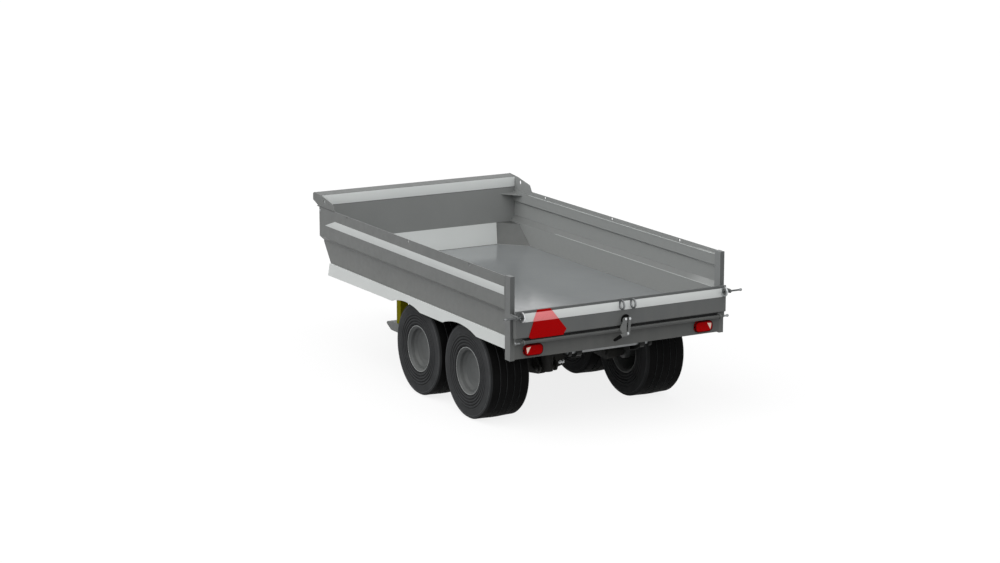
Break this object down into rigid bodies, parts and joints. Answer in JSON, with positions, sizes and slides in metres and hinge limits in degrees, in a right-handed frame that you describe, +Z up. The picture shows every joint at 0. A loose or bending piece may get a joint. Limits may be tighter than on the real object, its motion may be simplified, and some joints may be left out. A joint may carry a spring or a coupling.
{
  "type": "dump trailer",
  "caption": "Tandem farm dump trailer with a tipping grey steel box, low tailgate, wide flotation tyres on rocker bogies, drawbar and parking jack.",
  "frame": {"origin": "On the ground, under the middle of the whole trailer", "axes": "X forward to the tow eye, Y to the left, Z up"},
  "size_m": [5.153, 2.432, 1.5936],
  "materials": {
    "body_paint": "semi-gloss grey paint",
    "pale_paint": "semi-gloss light grey paint",
    "black_paint": "satin black paint",
    "rim_paint": "satin mid grey paint",
    "tyre_rubber": "matt black rubber",
    "zinc": "bright zinc plated steel",
    "steel": "bare steel",
    "rod_chrome": "polished hard chrome",
    "jack_yellow": "olive yellow paint",
    "sign_red": "red reflective sheet",
    "lamp_red": "red lens"
  },
  "bodies": {
    "chassis": {"chassis_frame": "black_paint", "tip_pin": "steel", "drawbar": "black_paint", "tow_eye": "steel", "jack_tube": "black_paint", "lift_cradle": "black_paint", "bogie_hanger_left": "black_paint", "bogie_rocker_left": "black_paint", "stub_rear_left": "black_paint", "stub_front_left": "black_paint", "bogie_hanger_right": "black_paint", "bogie_rocker_right": "black_paint", "stub_rear_right": "black_paint", "stub_front_right": "black_paint"},
    "bed": {"bed_floor": "body_paint", "wall_left": "body_paint", "wall_right": "body_paint", "front_wall": "body_paint", "headboard": "body_paint", "gusset_left": "body_paint", "gusset_right": "body_paint", "post_left": "body_paint", "post_right": "body_paint", "rear_beam": "body_paint", "skirt_left": "pale_paint", "skirt_right": "pale_paint", "lamp_left": "lamp_red", "lamp_right": "lamp_red", "nose_corner_left": "body_paint", "nose_corner_right": "body_paint", "bed_underframe": "black_paint", "lift_socket": "black_paint", "gate_pin_left": "zinc", "gate_pin_right": "zinc"},
    "tailgate": {"tailgate": "body_paint", "gate_shaft": "body_paint", "slow_sign": "sign_red", "gate_latch": "body_paint"},
    "lift_barrel": {"lift_barrel": "black_paint"},
    "lift_stage": {"lift_stage": "rod_chrome"},
    "lift_rod": {"lift_rod": "rod_chrome"},
    "jack": {"jack_leg": "jack_yellow", "jack_foot": "steel"},
    "wheel_rear_left": {"tyre_rear_left": "tyre_rubber", "rim_rear_left": "rim_paint"},
    "wheel_rear_right": {"tyre_rear_right": "tyre_rubber", "rim_rear_right": "rim_paint"},
    "wheel_front_left": {"tyre_front_left": "tyre_rubber", "rim_front_left": "rim_paint"},
    "wheel_front_right": {"tyre_front_right": "tyre_rubber", "rim_front_right": "rim_paint"}
  },
  "joints": [
    {"name": "bed_tip", "type": "hinge", "parent": "chassis", "child": "bed", "pos_m": [-2.2575, 0, 0.7], "axis": [0, -1, 0], "range_deg": [0, 45]},
    {"name": "tailgate_swing", "type": "hinge", "parent": "bed", "child": "tailgate", "pos_m": [-2.5315, 0, 1.134], "axis": [0, 1, 0], "range_deg": [0, 95]},
    {"name": "jack_slide", "type": "slide", "parent": "chassis", "child": "jack", "axis": [0, 0, 1], "range_m": [0, 0.3]},
    {"name": "lift_swing", "type": "hinge", "parent": "chassis", "child": "lift_barrel", "pos_m": [-1.1775, 0, 0.275], "axis": [0, -1, 0], "range_deg": [0, 17.52]},
    {"name": "lift_stage_slide", "type": "slide", "parent": "lift_barrel", "child": "lift_stage", "axis": [0, 0, 1], "range_m": [0, 0.4016]},
    {"name": "lift_rod_slide", "type": "slide", "parent": "lift_stage", "child": "lift_rod", "axis": [0, 0, 1], "range_m": [0, 0.4016]},
    {"name": "wheel_rear_left_spin", "type": "hinge", "parent": "chassis", "child": "wheel_rear_left", "pos_m": [-1.5115, 0.815, 0.437], "axis": [0, 1, 0], "continuous": true},
    {"name": "wheel_rear_right_spin", "type": "hinge", "parent": "chassis", "child": "wheel_rear_right", "pos_m": [-1.5115, -0.815, 0.437], "axis": [0, 1, 0], "continuous": true},
    {"name": "wheel_front_left_spin", "type": "hinge", "parent": "chassis", "child": "wheel_front_left", "pos_m": [-0.5655, 0.815, 0.437], "axis": [0, 1, 0], "continuous": true},
    {"name": "wheel_front_right_spin", "type": "hinge", "parent": "chassis", "child": "wheel_front_right", "pos_m": [-0.5655, -0.815, 0.437], "axis": [0, 1, 0], "continuous": true}
  ],
  "couplings": [
    {"joint": "lift_swing", "follows": "bed_tip", "ratio": 0.387},
    {"joint": "lift_stage_slide", "follows": "bed_tip", "m_per_rad": 0.51},
    {"joint": "lift_rod_slide", "follows": "bed_tip", "m_per_rad": 0.51}
  ]
}
